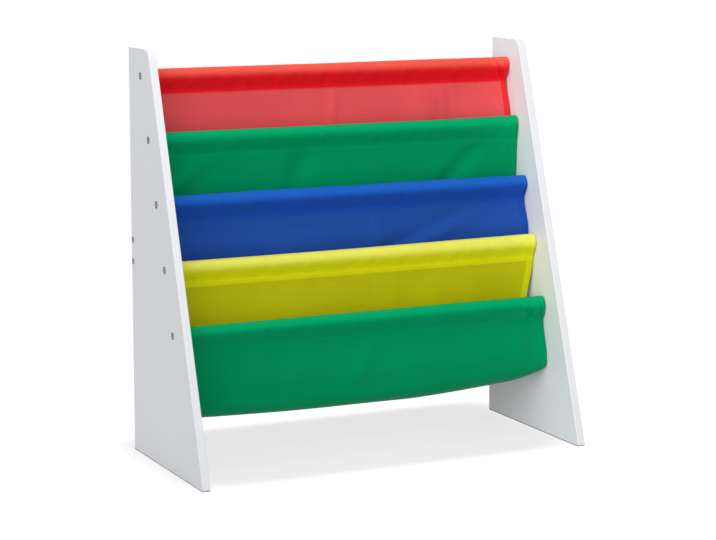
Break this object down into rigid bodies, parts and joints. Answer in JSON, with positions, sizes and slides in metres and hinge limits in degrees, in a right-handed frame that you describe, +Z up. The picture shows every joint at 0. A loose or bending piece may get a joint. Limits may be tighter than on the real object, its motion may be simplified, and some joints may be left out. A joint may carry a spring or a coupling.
{
  "type": "sling bookshelf",
  "caption": "Low nursery bookshelf: white slanted side panels joined by wooden rods and a rear rail, with coloured cloth slings hung from the rods as pockets for picture books.",
  "frame": {"origin": "on the floor, in the middle of the footprint of the two side panels", "axes": "+X to the right as seen from the front, +Y towards the upright back edges, +Z up; the slanted front faces -Y"},
  "size_m": [0.616, 0.276, 0.6],
  "materials": {
    "white_paint": "satin white paint on board",
    "rod_wood": "sanded, unpainted",
    "screw_steel": "bright zinc plated",
    "cloth_red": "plain woven polyester",
    "cloth_green": "plain woven polyester",
    "cloth_blue": "plain woven polyester",
    "cloth_yellow": "plain woven polyester"
  },
  "bodies": {
    "root": {"left_side_panel": "white_paint", "right_side_panel": "white_paint", "rear_rail": "white_paint", "dowel_rod_1": "rod_wood", "dowel_rod_2": "rod_wood", "dowel_rod_3": "rod_wood", "dowel_rod_4": "rod_wood", "dowel_rod_5": "rod_wood", "left_rod_screw_1": "screw_steel", "left_rod_screw_2": "screw_steel", "left_rod_screw_3": "screw_steel", "left_rod_screw_4": "screw_steel", "left_rod_screw_5": "screw_steel", "left_rail_screw_upper": "screw_steel", "left_rail_screw_lower": "screw_steel", "right_rod_screw_1": "screw_steel", "right_rod_screw_2": "screw_steel", "right_rod_screw_3": "screw_steel", "right_rod_screw_4": "screw_steel", "right_rod_screw_5": "screw_steel", "right_rail_screw_upper": "screw_steel", "right_rail_screw_lower": "screw_steel", "sling_red": "cloth_red", "sling_green_upper": "cloth_green", "sling_blue": "cloth_blue", "sling_yellow": "cloth_yellow", "sling_green_lower": "cloth_green"}
  },
  "joints": []
}
